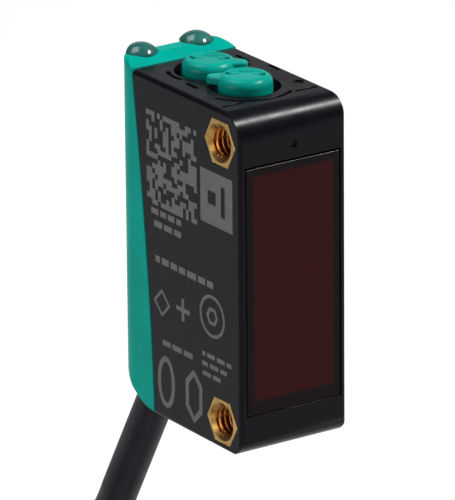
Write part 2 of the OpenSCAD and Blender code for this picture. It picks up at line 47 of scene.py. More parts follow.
# ---------------------------------------------------------------- sizes, in millimetres
BODY_W, BODY_H, BODY_D = 11.0, 31.0, 20.0
HOLE_SETBACK, HOLE_PITCH, HOLE_RISE = 3.05, 25.4, 2.6
FRONT_Y, BOTTOM_Z = -HOLE_SETBACK, -(HOLE_RISE + HOLE_PITCH / 2)
HALF_W = BODY_W / 2
BUSH_R, THREAD_R, THREAD_PITCH, THREAD_DEPTH = 2.35, 1.25, 0.5, 0.27
BUSH_CHAMFER, BUSH_CHAMFER_GROW, BUSH_EDGE, BUSH_MOUTH_GAP = 0.4, 0.5, 0.07, 0.02
THREAD_FLAT, BUSH_SIDES, STEPS_PER_PITCH = 0.14, 72, 10
CABLE_R = 1.75
CABLE_LEAN = math.radians(30)
EXIT_AT = Vector((0, 15.7, -12.3))
INSIDE, PATH_STEP = 8.0, 0.9
DROP = [
    (0, 17.2, -14.9), (0, 18.7, -17.5), (0, 20.2, -20.1), (0, 21.7, -22.7), (0, 23.2, -25.3),
    (0, 24.7, -27.9), (0, 26.2, -30.5), (-0.6, 27.8, -33.1), (-2, 29.3, -35.7), (-4, 30.8, -38.2),
    (-6.6, 32.1, -40.5), (-9.6, 33, -42.4), (-12.8, 33.6, -43.7),
]
TAIL = [
    (-33.2, 30, -44.2), (-35.2, 27.3, -44.1), (-37, 24.4, -43.7), (-38.5, 21.3, -43.1),
    (-39.7, 18.1, -42.5), (-40.6, 15.2, -42), (-41.3, 12.4, -41.6), (-41.5, 10.2, -41.5),
    (-41.5, 8, -41.5),
]
COIL_CENTRE, COIL_Z = (-16.0, 16.5), -44.2
COIL_R, COIL_STEP, COIL_TURNS = 17.4, 3.7, 1.12
TIE_ANGLE = math.radians(118)
PLUG_AT = Vector((-41.5, 8, -41.5))
FLOOR_Z = -46.5


def fy(depth):
    return FRONT_Y + depth


def bz(height):
    return BOTTOM_Z + height


# ---------------------------------------------------------------- camera
YAW, PITCH, ROLL = math.radians(33.901), math.radians(19.542), math.radians(-0.49)
CAMERA_AT = Vector((-293.52, -429.69, 186.65)) * MM
LENS = 461.7


def place_camera():
    back = Vector((-math.sin(YAW) * math.cos(PITCH), -math.cos(YAW) * math.cos(PITCH), math.sin(PITCH)))
    right = Vector((math.cos(YAW), -math.sin(YAW), 0))
    up = back.cross(right)
    turned_right = right * math.cos(ROLL) + up * math.sin(ROLL)
    turned_up = up * math.cos(ROLL) - right * math.sin(ROLL)
    data = bpy.data.cameras.new("camera")
    data.sensor_width, data.lens = 36, LENS
    data.clip_start, data.clip_end = 0.01, 20
    camera = bpy.data.objects.new("camera", data)
    bpy.context.scene.collection.objects.link(camera)
    camera.matrix_world = Matrix((
        (turned_right.x, turned_up.x, back.x, CAMERA_AT.x),
        (turned_right.y, turned_up.y, back.y, CAMERA_AT.y),
        (turned_right.z, turned_up.z, back.z, CAMERA_AT.z),
        (0, 0, 0, 1),
    ))
    bpy.context.scene.camera = camera


place_camera()


# ---------------------------------------------------------------- materials
def node(tree, kind, settings=None, **inputs):
    made = tree.nodes.new(kind)
    for key, value in (settings or {}).items():
        setattr(made, key, value)
    for key, value in inputs.items():
        socket = made.inputs[int(key[1:])] if key[0] == "i" and key[1:].isdigit() else made.inputs[key]
        if isinstance(value, bpy.types.NodeSocket):
            tree.links.new(value, socket)
        else:
            socket.default_value = value
    return made


def linear(rgb):
    """sRGB 0-255 to linear RGBA."""
    def one(c):
        c /= 255
        return c / 12.92 if c <= 0.04045 else ((c + 0.055) / 1.055) ** 2.4
    return tuple(one(c) for c in rgb) + (1.0,)


def scaled(colour, by):
    return tuple(min(c * by, 1) for c in colour[:3]) + (1.0,)


def noise(tree, coords, size_mm, detail=2.0, rough=0.5, stretch=None):
    """Noise whose features are about size_mm across, longer along an axis where stretch says so."""
    if stretch:
        coords = node(tree, "ShaderNodeMapping", i0=coords, i3=stretch).outputs[0]
    return node(
        tree, "ShaderNodeTexNoise", Vector=coords, Scale=1 / (size_mm * MM), Detail=detail, Roughness=rough
    ).outputs[0]


def remap(tree, value, low, high, start=0.3, end=0.7):
    made = node(tree, "ShaderNodeMapRange", i0=value, i1=start, i2=end, i3=low, i4=high)
    return made.outputs[0]


def mixed(tree, factor, a, b):
    made = tree.nodes.new("ShaderNodeMix")
    made.data_type = "RGBA"
    for socket, value in ((made.inputs[0], factor), (made.inputs[6], a), (made.inputs[7], b)):
        if isinstance(value, bpy.types.NodeSocket):
            tree.links.new(value, socket)
        else:
            socket.default_value = value
    return made.outputs[2]


def surface(
    name, rgb, rough, tone=0.1, tone_mm=2.5, spread=0.05, grain_mm=0.12, grain_um=4.0, detail=2.0,
    stretch=None, tint=None, **constants
):
    """Material with broad colour variation, uneven gloss and a fine raised grain."""
    mat = bpy.data.materials.new(name)
    mat.use_nodes = True
    tree = mat.node_tree
    tree.nodes.clear()
    shader = node(tree, "ShaderNodeBsdfPrincipled")
    out = node(tree, "ShaderNodeOutputMaterial")
    tree.links.new(shader.outputs[0], out.inputs[0])
    coords = node(tree, "ShaderNodeTexCoord").outputs["Object"]
    colour = linear(rgb)
    broad = noise(tree, coords, tone_mm, 3.0, 0.55)
    other = linear(tint) if tint else scaled(colour, 1 + tone)
    base = mixed(tree, remap(tree, broad, 0.0, 1.0), scaled(colour, 1 - tone), other)
    tree.links.new(base, shader.inputs["Base Color"])
    smear = noise(tree, coords, tone_mm * 0.6, 4.0, 0.6)
    tree.links.new(remap(tree, smear, rough - spread, rough + spread), shader.inputs["Roughness"])
    grain = noise(tree, coords, grain_mm, detail, 0.6, stretch)
    bump = node(tree, "ShaderNodeBump", Strength=1.0, Distance=grain_um * 1e-6, Height=grain)
    tree.links.new(bump.outputs[0], shader.inputs["Normal"])
    for key, value in constants.items():
        shader.inputs[key.replace("_", " ")].default_value = value
    return mat


def parts_of(mat):
    """The tree, shader, base colour source and coordinates of a surface() material."""
    tree = mat.node_tree
    shader = next(n for n in tree.nodes if n.type == "BSDF_PRINCIPLED")
    coords = next(n for n in tree.nodes if n.type == "TEX_COORD").outputs["Object"]
    return tree, shader, shader.inputs["Base Color"].links[0].from_socket, coords


def maths(tree, operation, a, b=0.0):
    return node(tree, "ShaderNodeMath", {"operation": operation}, i0=a, i1=b).outputs[0]


def inside(tree, value, low, high, soft):
    """1 between low and high, falling to 0 over soft outside them."""
    up = node(tree, "ShaderNodeMapRange", {"interpolation_type": "SMOOTHSTEP"},
              i0=value, i1=low - soft, i2=low, i3=0.0, i4=1.0).outputs[0]
    down = node(tree, "ShaderNodeMapRange", {"interpolation_type": "SMOOTHSTEP"},
                i0=value, i1=high, i2=high + soft, i3=1.0, i4=0.0).outputs[0]
    return maths(tree, "MULTIPLY", up, down)


ACRYLIC_IOR = 1.49
BLACK = surface("black_housing", (13, 13, 19), 0.28, 0.12, 4, 0.05, 0.16, 1.6, Specular_IOR_Level=0.085)
TEAL = surface("teal_cover", (0, 146, 132), 0.36, 0.05, 5, 0.05, 0.1, 2.5, tint=(0, 154, 140),
               Specular_IOR_Level=0.025)
KNOB = surface("teal_knob", (0, 140, 126), 0.3, 0.05, 2, 0.05, 0.1, 2.0, tint=(0, 150, 136),
               Specular_IOR_Level=0.1)
PANE = surface("tinted_window", (52, 9, 11), 0.12, 0.05, 6, 0.02, 1.5, 0.6, Specular_IOR_Level=0.03,
               Transmission_Weight=0.1, IOR=ACRYLIC_IOR)
CLEAR = surface("clear_lens", (225, 232, 230), 0.05, 0.02, 4, 0.02, 0.8, 0.5, Transmission_Weight=0.95,
                IOR=ACRYLIC_IOR)
DOME = surface("light_guide", (48, 122, 114), 0.14, 0.1, 1.0, 0.04, 0.5, 2.5, Transmission_Weight=0.45,
               IOR=ACRYLIC_IOR)
INNER = surface("black_inner", (24, 24, 27), 0.55, 0.1, 3, 0.05, 0.12, 5)
RUBBER = surface("black_rubber", (26, 26, 30), 0.62, 0.1, 2, 0.06, 0.1, 8, Specular_IOR_Level=0.3)
BOARD = surface("circuit_board", (18, 84, 48), 0.35, 0.08, 3, 0.05, 0.2, 4)
LAMP_WHITE = surface("lamp_white", (226, 222, 200), 0.4, 0.04, 0.6, 0.04, 0.08, 3)
LAMP_GREEN = surface("lamp_green", (120, 205, 130), 0.3, 0.05, 0.4, 0.04, 0.08, 2)
LAMP_YELLOW = surface("lamp_yellow", (232, 196, 92), 0.3, 0.05, 0.4, 0.04, 0.08, 2)
CHIP = surface("chip_black", (27, 27, 29), 0.5, 0.12, 0.8, 0.06, 0.05, 5)
CERAMIC = surface("chip_ceramic", (150, 128, 102), 0.45, 0.14, 0.5, 0.06, 0.06, 4)
TIN = surface("tinned_can", (190, 192, 196), 0.3, 0.06, 1.5, 0.07, 0.06, 2, stretch=(1, 1, 0.08),
              Metallic=1.0)
GOLD = surface("gold_contacts", (222, 176, 92), 0.22, 0.06, 0.8, 0.05, 0.06, 1.5, Metallic=1.0)
ROTOR = surface("rotor_white", (228, 226, 214), 0.42, 0.04, 0.8, 0.04, 0.08, 3)
BRASS = surface("brass_bush", (154, 116, 62), 0.3, 0.1, 1.2, 0.06, 0.05, 2, stretch=(0.25, 1, 1),
                tint=(178, 144, 86), Metallic=1.0)
SHEATH = surface("cable_sheath", (26, 25, 32), 0.5, 0.1, 3, 0.06, 0.14, 7, Specular_IOR_Level=0.15)
BROWN = surface("core_brown", (96, 58, 34), 0.38, 0.08, 1, 0.05, 0.1, 3)
WHITE = surface("core_white", (225, 224, 218), 0.38, 0.03, 1, 0.05, 0.1, 3)
BLUE = surface("core_blue", (34, 78, 158), 0.38, 0.08, 1, 0.05, 0.1, 3)
CORE_BLACK = surface("core_black", (26, 26, 28), 0.38, 0.1, 1, 0.05, 0.1, 3)
TIE = surface("tie_plastic", (30, 30, 33), 0.4, 0.08, 2, 0.05, 0.1, 4)
GRIP = surface("plug_grip", (34, 34, 38), 0.5, 0.1, 3, 0.05, 0.1, 7, Specular_IOR_Level=0.3)
NICKEL = surface("nickel_nut", (196, 192, 182), 0.24, 0.06, 1.5, 0.06, 0.08, 2, Metallic=1.0)
INK = surface("print_grey", (98, 97, 95), 0.55, 0.08, 1.2, 0.05, 0.1, 1.5, Specular_IOR_Level=0.2)

# The window's clear field is bordered by a darker band all round
FIELD_X, FIELD_LOW, FIELD_HIGH, FIELD_SOFT = 3.95, 5.25, 25.3, 0.35
BORDER_SHADE = (20, 10, 12)


def border_window():
    tree, shader, base, coords = parts_of(PANE)
    split = node(tree, "ShaderNodeSeparateXYZ", i0=coords)
    across = inside(tree, split.outputs[0], -FIELD_X * MM, FIELD_X * MM, FIELD_SOFT * MM)
    upright = inside(tree, split.outputs[2], bz(FIELD_LOW) * MM, bz(FIELD_HIGH) * MM, FIELD_SOFT * MM)
    field = maths(tree, "MULTIPLY", across, upright)
    tree.links.new(mixed(tree, field, linear(BORDER_SHADE), base), shader.inputs["Base Color"])


border_window()

# Painted shade: the bushes' bores are coloured darker than their faces, standing in for the shade inside
# them. Both axes lie at y = 0, one above and one below
BORE_SOFT, BORE_PAINTED_SHADE, FACE_BAND = 0.25, (170, 105, 48), 0.35


def paint_bore_shade():
    tree, shader, base, coords = parts_of(BRASS)
    split = node(tree, "ShaderNodeSeparateXYZ", i0=coords)
    along, behind, height = split.outputs
    above = maths(tree, "SUBTRACT", maths(tree, "ABSOLUTE", height), HOLE_PITCH / 2 * MM)
    above_squared, behind_squared = (maths(tree, "MULTIPLY", side, side) for side in (above, behind))
    from_axis = maths(tree, "SQRT", maths(tree, "ADD", above_squared, behind_squared))
    bore = inside(tree, from_axis, -1.0, (THREAD_R + THREAD_DEPTH) * MM, BORE_SOFT * MM)
    half_bore = (HALF_W - FACE_BAND) * MM
    within = inside(tree, along, -half_bore, half_bore, BORE_SOFT * MM)
    # painted shade: a darker colour inside each bore, fading out short of the bush faces
    painted_shade = maths(tree, "MULTIPLY", bore, within)
    tree.links.new(mixed(tree, painted_shade, base, linear(BORE_PAINTED_SHADE)), shader.inputs["Base Color"])


paint_bore_shade()

NODE_MATERIALS = {
    "front_housing": BLACK, "rear_cover": TEAL, "window_pane": PANE, "window_gasket": RUBBER,
    "emitter_lens": CLEAR, "receiver_lens": CLEAR, "optics_carrier": INNER, "main_board": BOARD,
    "emitter_led": LAMP_WHITE, "photodiode": CHIP, "shield_can": TIN, "controller_chip": CHIP,
    "output_driver": CHIP, "smd_parts": CERAMIC, "board_header": INNER, "header_pins": GOLD,
    "control_board": BOARD, "sensitivity_trimmer": INNER, "sensitivity_rotor": ROTOR,
    "sensitivity_knob": KNOB, "sensitivity_seal": RUBBER, "mode_switch": INNER, "mode_rotor": ROTOR,
    "mode_knob": KNOB, "mode_seal": RUBBER, "power_led": LAMP_GREEN, "signal_led": LAMP_YELLOW,
    "power_light_guide": DOME, "signal_light_guide": DOME, "upper_bush": BRASS, "lower_bush": BRASS,
    "cable_grommet": RUBBER, "cable_clamp": TIN, "cable_end": SHEATH, "core_brown": BROWN,
    "core_white": WHITE, "core_blue": BLUE, "core_black": CORE_BLACK, "cable_drop": SHEATH,
    "cable_coil": SHEATH, "cable_tail": SHEATH, "cable_tie": TIE, "plug_body": GRIP,
    "plug_contact_carrier": INNER, "plug_pins": GOLD, "plug_seal": RUBBER, "coupling_nut": NICKEL,
}
for name, mat in NODE_MATERIALS.items():
    for material_slot in nodes[name].material_slots:
        material_slot.material = mat


# ---------------------------------------------------------------- mesh helpers
def smooth_faces(mesh):
    for polygon in mesh.polygons:
        polygon.use_smooth = True


def stand(name, mesh, mat, body):
    """Object with this mesh and material, which rides on a body."""
    mesh.materials.clear()
    mesh.materials.append(mat)
    made = bpy.data.objects.new(name, mesh)
    bpy.context.scene.collection.objects.link(made)
    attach(made, body)
    return made


def piece(name, verts, faces, mat, body="sensor", place=None, angle=35, weld=1e-7):
    """Closed mesh from millimetre points, riding on a body."""
    mesh = bpy.data.meshes.new(name)
    mesh.from_pydata([tuple(c * MM for c in v) for v in verts], [], faces)
    bm = bmesh.new()
    bm.from_mesh(mesh)
    if place is not None:
        bmesh.ops.transform(bm, matrix=place, verts=bm.verts)
    bmesh.ops.remove_doubles(bm, verts=bm.verts, dist=weld)
    bmesh.ops.recalc_face_normals(bm, faces=bm.faces)
    bm.to_mesh(mesh)
    bm.free()
    smooth_faces(mesh)
    mesh.set_sharp_from_angle(angle=math.radians(angle))
    return stand(name, mesh, mat, body)


def grid_faces(rows, columns, wrap=True):
    faces = []
    for i in range(rows - 1):
        for j in range(columns if wrap else columns - 1):
            k = (j + 1) % columns
            faces.append((i * columns + j, i * columns + k, (i + 1) * columns + k, (i + 1) * columns + j))
    return faces


def ring_caps(rows, columns):
    return [tuple(range(columns - 1, -1, -1)), tuple((rows - 1) * columns + j for j in range(columns))]


def circle(count):
    """Angles of evenly spaced points round a circle."""
    return [2 * math.pi * j / count for j in range(count)]


def ring_at(r, z, angles):
    return [(r * math.cos(a), r * math.sin(a), z) for a in angles]


def thread_wave(along, pitch, angle, flat):
    """0 to 1 up a thread's flank at this place on its helix, with flats on crest and root."""
    wave = (along / pitch - angle / (2 * math.pi)) % 1
    return min(1.0, max(0.0, (abs(wave - 0.5) * 2 - flat) / (1 - 2 * flat)))


def smooth_step(value, low, high):
    t = min(1.0, max(0.0, (value - low) / (high - low)))
    return t * t * (3 - 2 * t)


def shells(*parts):
    """One list of vertices and one of faces from several (verts, faces) shells."""
    verts, faces = [], []
    for part_verts, part_faces in parts:
        start = len(verts)
        verts += part_verts
        faces += [tuple(start + k for k in face) for face in part_faces]
    return verts, faces


def closed_rows(rows):
    """Closed shell from rings of points given from one end to the other."""
    columns = len(rows[0])
    return [p for row in rows for p in row], grid_faces(len(rows), columns) + ring_caps(len(rows), columns)


def bored_rows(rows):
    """Closed shell from rings that run along the outside and back through the bore."""
    columns = len(rows[0])
    last = (len(rows) - 1) * columns
    faces = grid_faces(len(rows), columns)
    faces += [(last + j, last + (j + 1) % columns, (j + 1) % columns, j) for j in range(columns)]
    return [p for row in rows for p in row], faces


def box_shell(half_x, half_y, low, high):
    corners = ((-half_x, -half_y), (half_x, -half_y), (half_x, half_y), (-half_x, half_y))
    return closed_rows([[(x, y, z) for x, y in corners] for z in (low, high)])


def applied(mesh, modify):
    """The mesh after the modifiers that modify() adds to a throwaway object."""
    probe = bpy.data.objects.new("probe", mesh)
    bpy.context.scene.collection.objects.link(probe)
    modify(probe)
    bpy.context.view_layer.update()
    done = bpy.data.meshes.new_from_object(probe.evaluated_get(bpy.context.evaluated_depsgraph_get()))
    bpy.data.objects.remove(probe)
    return done


def refined(source, bevel_mm, body="sensor", angle=40, flat_deg=0.6, segments=2, weld=2e-6):
    """Copy of a CAD node's shape with softened edges and even highlights, which stands for the node."""
    mesh = nodes[source].data.copy()
    bm = bmesh.new()
    bm.from_mesh(mesh)
    bmesh.ops.remove_doubles(bm, verts=bm.verts, dist=weld)
    bmesh.ops.dissolve_limit(bm, angle_limit=math.radians(flat_deg), verts=bm.verts,
                             edges=bm.edges, delimit=set())
    bm.to_mesh(mesh)
    bm.free()
    smooth_faces(mesh)

    def modify(probe):
        bevel = probe.modifiers.new("bevel", "BEVEL")
        bevel.width, bevel.segments, bevel.limit_method = bevel_mm * MM, segments, "ANGLE"
        bevel.angle_limit, bevel.use_clamp_overlap = math.radians(angle), False
        bevel.miter_outer = "MITER_ARC"
        weighted = probe.modifiers.new("weighted", "WEIGHTED_NORMAL")
        weighted.keep_sharp, weighted.weight = True, 100

    done = applied(mesh, modify)
    done.name = source + "_fine"
    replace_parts(stand(source + "_fine", done, NODE_MATERIALS[source], body), source)


# ---------------------------------------------------------------- cable
def smooth_path(points, step):
    """Points about step apart on a smooth curve through the given ones."""
    points = [Vector(p) for p in points]
    made = []
    for i in range(len(points) - 1):
        a, b = points[max(i - 1, 0)], points[i]
        c, d = points[i + 1], points[min(i + 2, len(points) - 1)]
        count = max(1, round((c - b).length / step))
        for j in range(count):
            t = j / count
            made.append(0.5 * (
                2 * b + (c - a) * t + (2 * a - 5 * b + 4 * c - d) * t * t + (3 * b - a - 3 * c + d) * t ** 3
            ))
    return made + [points[-1]]


def coil_points(count=60):
    made = []
    for i in range(count + 1):
        turns = COIL_TURNS * i / count
        angle = math.pi / 2 + 2 * math.pi * turns
        r = COIL_R + COIL_STEP * turns
        made.append((COIL_CENTRE[0] + r * math.cos(angle), COIL_CENTRE[1] + r * math.sin(angle), COIL_Z))
    return made


def tube_along(points, radius, sides=20):
    """Vertices and faces of a closed round tube whose sides don't twist along the path."""
    last = len(points) - 1
    normal = Vector((1, 0, 0))
    rows = []
    for i, p in enumerate(points):
        tangent = (points[min(i + 1, last)] - points[max(i - 1, 0)]).normalized()
        normal = (normal - tangent * normal.dot(tangent)).normalized()
        side = tangent.cross(normal)
        rows.append([p + radius * (math.cos(a) * normal + math.sin(a) * side) for a in circle(sides)])
    return closed_rows(rows)


def make_cable():
    out_of = Vector((0, math.sin(CABLE_LEAN), -math.cos(CABLE_LEAN)))
    route = [EXIT_AT - out_of * INSIDE, EXIT_AT - out_of * INSIDE / 2, EXIT_AT] + DROP + coil_points() + TAIL
    path = smooth_path(route, PATH_STEP)
    verts, faces = tube_along(path, CABLE_R)
    cable = piece("cable", verts, faces, SHEATH)
    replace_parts(cable, "cable_end", "cable_drop", "cable_coil", "cable_tail")
    length = sum((b - a).length for a, b in zip(path, path[1:]))
    return cable, path, length


cable, cable_path, cable_length = make_cable()
print("cable length, mm:", round(cable_length, 1))


# ---------------------------------------------------------------- mounting bushes
def hexagon_point(angle, radius):
    """Point on a hexagon with a corner at angle 0."""
    sector = (angle + math.pi / 6) % (math.pi / 3) - math.pi / 6
    reach = radius * math.cos(math.pi / 6) / math.cos(math.pi / 6 - abs(sector))
    return reach * math.cos(angle), reach * math.sin(angle)


def make_bush(name, height):
    angles = circle(BUSH_SIDES)
    rows = []
    for along, inset in ((BUSH_EDGE, 0), (BUSH_EDGE * 0.3, BUSH_EDGE * 0.3), (0, BUSH_EDGE)):
        rows.append([(along - HALF_W,) + hexagon_point(a, BUSH_R - inset) for a in angles])
    mouth_r = THREAD_R + BUSH_CHAMFER_GROW + BUSH_MOUTH_GAP
    rows.append([(-HALF_W, mouth_r * math.cos(a), mouth_r * math.sin(a)) for a in angles])
    steps = round(BODY_W / THREAD_PITCH * STEPS_PER_PITCH)
    for i in range(steps + 1):
        x = -HALF_W + BODY_W * i / steps
        from_end = min(x + HALF_W, HALF_W - x)
        mouth = THREAD_R + BUSH_CHAMFER_GROW * max(0.0, 1 - from_end / BUSH_CHAMFER)
        row = []
        for a in angles:
            r = max(mouth, THREAD_R + THREAD_DEPTH * thread_wave(x, THREAD_PITCH, a, THREAD_FLAT))
            row.append((x, r * math.cos(a), r * math.sin(a)))
        rows.append(row)
    rows += [[(-x, y, z) for x, y, z in row] for row in (rows[3], rows[2], rows[1], rows[0])]
    placed = [[(x, fy(HOLE_SETBACK) + y, bz(height) + z) for x, y, z in row] for row in rows]
    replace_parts(piece(name + "_threaded", *bored_rows(placed), BRASS, angle=24), name)


make_bush("upper_bush", HOLE_RISE + HOLE_PITCH)
make_bush("lower_bush", HOLE_RISE)

# ---------------------------------------------------------------- shells and other softened CAD shapes
refined("front_housing", 0.05)
refined("rear_cover", 0.06)
refined("window_pane", 0.08)


# ---------------------------------------------------------------- adjuster heads
KNOB_R, KNOB_HIGH, KNOB_LOW, RIM_R = 2.4, BODY_H + 1.1, BODY_H - 0.6, 0.8
KNOB_EDGE, KNOB_SIDES, KNOB_RINGS = 0.08, 144, 56
SENSITIVITY_DEPTH, SENSITIVITY_AIM, MODE_DEPTH, MODE_AIM = 7.2, 140, 12.7, -40
DISH_R, DISH_DEEP, DISH_SOFT = 1.5, 0.15, 0.3
RECESS_DEEP, RECESS_SOFT = 0.6, 0.12
RECESS_ARMS = ((1.7, 0.3), (0.6, 1.0))
SHAFT_R, SHAFT_LOW, BLADE, BLADE_OVERLAP = 1.2, 28.75, (0.95, 0.2, 28.15), 0.1
POINTER_ROOT, POINTER_TIP, POINTER_R = 1.5, 0.6, 3.35
POINTER_LOW, POINTER_HIGH, POINTER_ROUND, POINTER_STEPS = BODY_H + 0.25, BODY_H + 0.9, 0.22, 5


def knob_top(r, angle):
    """Height of the head's top at a radius and angle: soft rim, dished middle, cross recess."""
    over_rim = max(0.0, r - (KNOB_R - RIM_R))
    height = KNOB_HIGH - RIM_R + math.sqrt(max(0.0, RIM_R ** 2 - over_rim ** 2))
    height -= DISH_DEEP * (1 - smooth_step(r, DISH_R - DISH_SOFT, DISH_R + DISH_SOFT / 2))
    x, y = abs(r * math.cos(angle)), abs(r * math.sin(angle))
    edge = max(min(half_x - x, half_y - y) for half_x, half_y in RECESS_ARMS)
    return height - (RECESS_DEEP - DISH_DEEP) * smooth_step(edge, -RECESS_SOFT / 2, RECESS_SOFT / 2)


def teardrop(grow, count=48):
    """Outline of the pointer, a hull of its root circle and its tip circle, grown by grow."""
    root, tip, far = POINTER_ROOT + grow, POINTER_TIP + grow, POINTER_R - POINTER_TIP
    lean = math.acos((root - tip) / far)
    made = []
    for k in range(count):
        if k < count // 2:
            angle = lean + (2 * math.pi - 2 * lean) * k / (count // 2 - 1)
            made.append((root * math.cos(angle), root * math.sin(angle)))
        else:
            angle = -lean + 2 * lean * (k - count // 2) / (count - count // 2 - 1)
            made.append((far + tip * math.cos(angle), tip * math.sin(angle)))
    return made


def knob_ring_radius(i):
    """Radius of a ring of the head's top: close together over the rim, then evenly spaced to the middle."""
    rim_rings = KNOB_RINGS // 3
    if i < rim_rings:
        return KNOB_R * math.sqrt(1 - (i / KNOB_RINGS) ** 2)
    first = KNOB_R * math.sqrt(1 - ((rim_rings - 1) / KNOB_RINGS) ** 2)
    return first * (KNOB_RINGS - i) / (KNOB_RINGS - rim_rings + 1)


def make_knob(name, depth, aim, body):
    angles = circle(KNOB_SIDES)
    rows = [ring_at(r, z, angles) for r, z in (
        (SHAFT_R, SHAFT_LOW), (SHAFT_R, KNOB_LOW), (KNOB_R - KNOB_EDGE, KNOB_LOW),
        (KNOB_R, KNOB_LOW + KNOB_EDGE), (KNOB_R, KNOB_HIGH - RIM_R),
    )]
    for i in range(1, KNOB_RINGS):
        r = knob_ring_radius(i)
        rows.append([(r * math.cos(a), r * math.sin(a), knob_top(r, a)) for a in angles])
    blade = box_shell(BLADE[0], BLADE[1], BLADE[2], SHAFT_LOW + BLADE_OVERLAP)
    pointer = [[(x, y, POINTER_LOW) for x, y in teardrop(0)]]
    for i in range(POINTER_STEPS + 1):
        turn = math.pi / 2 * i / POINTER_STEPS
        height = POINTER_HIGH - POINTER_ROUND * (1 - math.sin(turn))
        pointer.append([(x, y, height) for x, y in teardrop(-POINTER_ROUND * (1 - math.cos(turn)))])
    verts, faces = shells(closed_rows(rows), blade, closed_rows(pointer))
    foot = Vector((0, fy(depth), BOTTOM_Z)) * MM
    place = Matrix.Translation(foot) @ Matrix.Rotation(math.radians(aim), 4, "Z")
    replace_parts(piece(name + "_fine", verts, faces, KNOB, body, place), name)


make_knob("sensitivity_knob", SENSITIVITY_DEPTH, SENSITIVITY_AIM, "sensitivity_adjuster")
make_knob("mode_knob", MODE_DEPTH, MODE_AIM, "mode_adjuster")

# ---------------------------------------------------------------- indicator domes
DOME_X, DOME_DEPTH, DOME_R, DOME_RISE, DOME_SEAT = 2.9, 19.1, 1.5, 0.75, 0.95
COVER_TOP, COVER_CORNER = BODY_H + 0.6, 3.1
GUIDE_X, GUIDE_DEPTH, NECK_R, FOOT_R, FOOT_LOW, NECK_LOW = 2.45, 18.1, 1.04, 0.9, 27, 30
DOME_SIDES, DOME_RINGS, HALVINGS = 96, 18, 24


def within_plan(x, depth):
    """Whether a point lies inside the cover's outline seen from above."""
    over_x, over_d = abs(x) - (HALF_W - COVER_CORNER), depth - (BODY_D - COVER_CORNER)
    if over_x > 0 and over_d > 0:
        return math.hypot(over_x, over_d) <= COVER_CORNER
    return abs(x) <= HALF_W and depth <= BODY_D


def dome_reach(side, angle):
    """How far the dome goes from its axis in one direction before it meets the cover's outline."""
    def fits(r):
        return within_plan(side * DOME_X + r * math.cos(angle), DOME_DEPTH + r * math.sin(angle))
    low, high = 0.0, DOME_R
    if fits(high):
        return high
    for _ in range(HALVINGS):
        middle = (low + high) / 2
        low, high = (middle, high) if fits(middle) else (low, middle)
    return high


def make_dome(name, side):
    ball = (DOME_R ** 2 + DOME_RISE ** 2) / (2 * DOME_RISE)
    angles = circle(DOME_SIDES)
    reach = [dome_reach(side, a) for a in angles]

    def ring(share, height=None):
        made = []
        for a, far in zip(angles, reach):
            r = share * far
            z = COVER_TOP + DOME_RISE - ball + math.sqrt(ball ** 2 - r ** 2) if height is None else height
            made.append((side * DOME_X + r * math.cos(a), fy(DOME_DEPTH + r * math.sin(a)), bz(z)))
        return made

    rows = [ring(1, COVER_TOP - DOME_SEAT), ring(1, COVER_TOP)]
    rows += [ring(math.cos(math.pi / 2 * i / DOME_RINGS)) for i in range(DOME_RINGS)]
    neck = [[(side * GUIDE_X + x, fy(GUIDE_DEPTH) + y, bz(z)) for x, y, z in ring_at(r, height, angles)]
            for r, height in ((FOOT_R, FOOT_LOW), (FOOT_R, NECK_LOW), (NECK_R, NECK_LOW),
                              (NECK_R, COVER_TOP - DOME_SEAT))]
    verts, faces = shells(closed_rows(rows), closed_rows(neck))
    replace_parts(piece(name + "_fine", verts, faces, DOME), name)


make_dome("power_light_guide", -1)
make_dome("signal_light_guide", 1)

# ---------------------------------------------------------------- print on the left side face
PRINT_X, PRINT_T, PRINT_SUNK = -HALF_W, 0.012, 0.004
CELL_SHARE, DASH_LONG, DASH_GAP = 0.52, (0.5, 1.5), 0.3


def printed(name, outlines, mat=INK):
    """Flat marks on the left face, each a list of (depth, height) corners or a pair of lists for a ring."""
    verts, faces = [], []
    for outline in outlines:
        ringed = isinstance(outline, tuple)
        rims = outline if ringed else (outline,)
        start, count = len(verts), len(rims[0])
        for x in (PRINT_X + PRINT_SUNK, PRINT_X - PRINT_T):
            for rim in rims:
                verts += [(x, fy(d), bz(h)) for d, h in rim]
        layer = count * len(rims)
        for k in range(count):
            m = (k + 1) % count
            faces.append((start + k, start + m, start + layer + m, start + layer + k))
            if ringed:
                inner = start + count
                faces.append((inner + m, inner + k, inner + layer + k, inner + layer + m))
                for low in (start, start + layer):
                    faces.append((low + k, low + m, low + count + m, low + count + k))
        if not ringed:
            faces.append(tuple(start + count + k for k in range(count)))
            faces.append(tuple(start + k for k in reversed(range(count))))
    return piece(name, verts, faces, mat)


def bar(d0, d1, h0, h1):
    return [(d0, h0), (d1, h0), (d1, h1), (d0, h1)]


def oval(depth, height, rd, rh, count=32, turn=0.0):
    return [(depth + rd * math.cos(turn + a), height + rh * math.sin(turn + a)) for a in circle(count)]


def ring_mark(depth, height, rd, rh, line, count=32):
    """Outer and inner outline of an oval or polygon drawn with a line."""
    return oval(depth, height, rd, rh, count), oval(depth, height, rd - line, rh - line, count)


def cell_block(d0, d1, h0, h1, cells, seed):
    """Square field of random cells, in runs along the depth."""
    chance = random.Random(seed)
    outlines = []
    step_d, step_h = (d1 - d0) / cells, (h1 - h0) / cells
    for row in range(cells):
        filled = [chance.random() < CELL_SHARE for _ in range(cells)] + [False]
        start = None
        for column, on in enumerate(filled):
            if on and start is None:
                start = column
            if not on and start is not None:
                outlines.append(bar(d0 + start * step_d, d0 + column * step_d,
                                    h0 + row * step_h, h0 + (row + 1) * step_h))
                start = None
    return outlines


def dashes(d0, d1, height, tall, seed):
    """A row of short plain bars of uneven length."""
    chance = random.Random(seed)
    outlines, at = [], d0
    while at < d1 - DASH_GAP:
        long = min(chance.uniform(*DASH_LONG), d1 - at)
        outlines.append(bar(at, at + long, height - tall / 2, height + tall / 2))
        at += long + DASH_GAP
    return outlines


